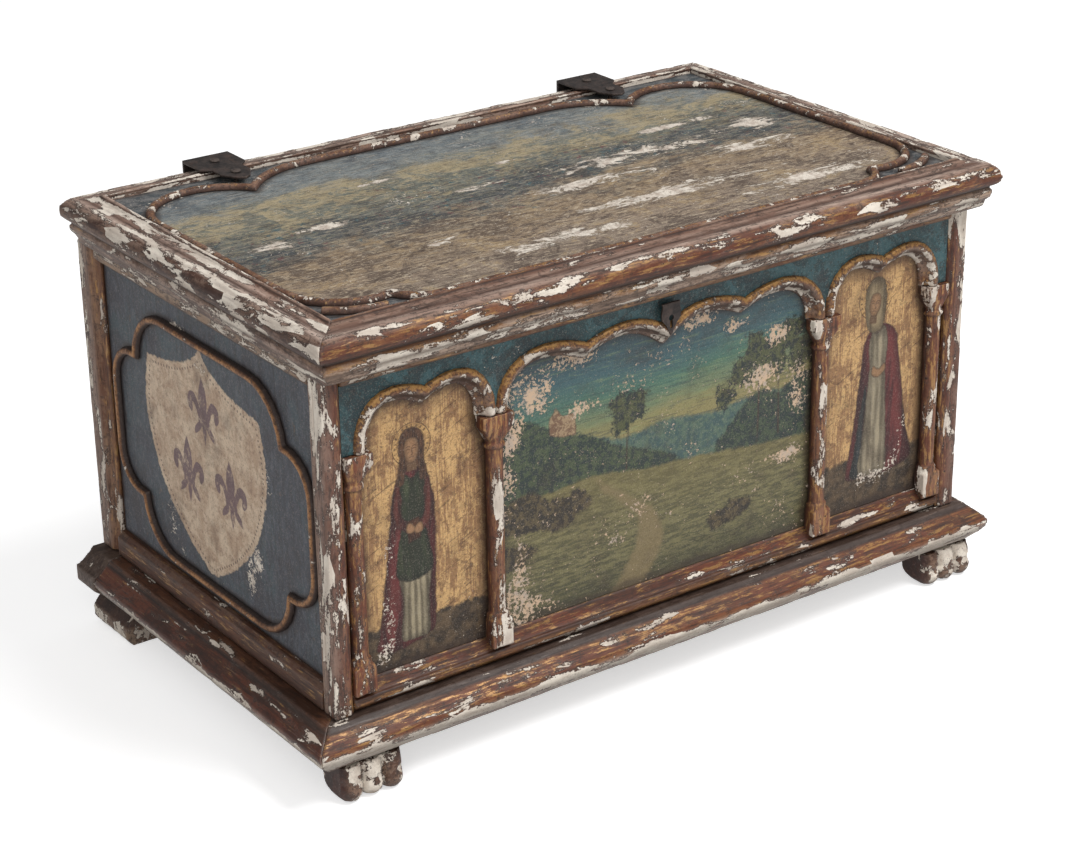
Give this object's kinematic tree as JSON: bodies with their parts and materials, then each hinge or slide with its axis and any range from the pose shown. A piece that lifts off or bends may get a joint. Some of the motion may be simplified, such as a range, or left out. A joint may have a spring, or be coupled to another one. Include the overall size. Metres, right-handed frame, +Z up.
{
  "type": "painted casket",
  "caption": "Painted and gilt wooden casket on carved feet: arcaded front, cartouched ends, framed lid on iron strap hinges, and a sliding bolt lock behind the keyhole.",
  "frame": {"origin": "middle of the bounding box on the floor the feet stand on", "axes": "+X along the front towards its right end as seen from in front, +Z up, front faces -Y"},
  "size_m": [0.542, 0.3282, 0.309],
  "materials": {
    "bare_wood": "old bare walnut-brown wood",
    "picture_paint": "worn tempera on gesso",
    "slate_paint": "worn slate-blue tempera",
    "teal_paint": "worn teal tempera",
    "worn_gesso": "flaked gesso and bole",
    "gilt_moulding": "rubbed gilding over red-brown bole",
    "wrought_iron": "dark forged iron"
  },
  "bodies": {
    "case": {"front_board": "picture_paint", "back_board": "bare_wood", "left_end_board": "slate_paint", "right_end_board": "slate_paint", "bottom_board": "bare_wood", "front_left_stile": "worn_gesso", "front_right_stile": "worn_gesso", "front_top_rail": "worn_gesso", "front_sill": "gilt_moulding", "spandrel_panel": "teal_paint", "left_arch_moulding": "gilt_moulding", "middle_arch_moulding": "gilt_moulding", "right_arch_moulding": "gilt_moulding", "colonnette_1": "gilt_moulding", "colonnette_2": "gilt_moulding", "colonnette_3": "gilt_moulding", "colonnette_4": "gilt_moulding", "left_end_front_strip": "worn_gesso", "left_end_back_stile": "worn_gesso", "left_end_top_rail": "gilt_moulding", "left_end_bottom_rail": "gilt_moulding", "left_cartouche_bead": "gilt_moulding", "right_end_front_strip": "worn_gesso", "right_end_back_stile": "worn_gesso", "right_end_top_rail": "gilt_moulding", "right_end_bottom_rail": "gilt_moulding", "right_cartouche_bead": "gilt_moulding", "base_front_moulding": "gilt_moulding", "base_left_moulding": "gilt_moulding", "base_right_moulding": "gilt_moulding", "base_back_rail": "bare_wood", "front_left_paw": "worn_gesso", "front_right_paw": "worn_gesso", "back_left_foot": "worn_gesso", "back_right_foot": "worn_gesso", "left_hinge_case_leaf": "wrought_iron", "left_hinge_leaf_screw": "wrought_iron", "left_hinge_pin": "wrought_iron", "right_hinge_case_leaf": "wrought_iron", "right_hinge_leaf_screw": "wrought_iron", "right_hinge_pin": "wrought_iron", "escutcheon": "wrought_iron", "lock_plate": "wrought_iron", "bolt_cover": "wrought_iron"},
    "lid": {"lid_board": "picture_paint", "lid_front_moulding": "worn_gesso", "lid_left_moulding": "worn_gesso", "lid_right_moulding": "worn_gesso", "lid_back_moulding": "worn_gesso", "lid_picture_bead": "gilt_moulding", "lid_left_corner_bead": "gilt_moulding", "lid_right_corner_bead": "gilt_moulding", "left_hinge_lid_strap": "wrought_iron", "left_hinge_strap_screw_1": "wrought_iron", "left_hinge_strap_screw_2": "wrought_iron", "right_hinge_lid_strap": "wrought_iron", "right_hinge_strap_screw_1": "wrought_iron", "right_hinge_strap_screw_2": "wrought_iron", "lid_hook": "wrought_iron"},
    "bolt": {"lock_bolt": "wrought_iron"}
  },
  "joints": [
    {"name": "lid_hinge", "type": "hinge", "parent": "case", "child": "lid", "pos_m": [0, 0.1605, 0.2719], "axis": [-1, 0, 0], "range_deg": [0, 105]},
    {"name": "bolt_slide", "type": "slide", "parent": "case", "child": "bolt", "axis": [1, 0, 0], "range_m": [0, 0.009]}
  ]
}
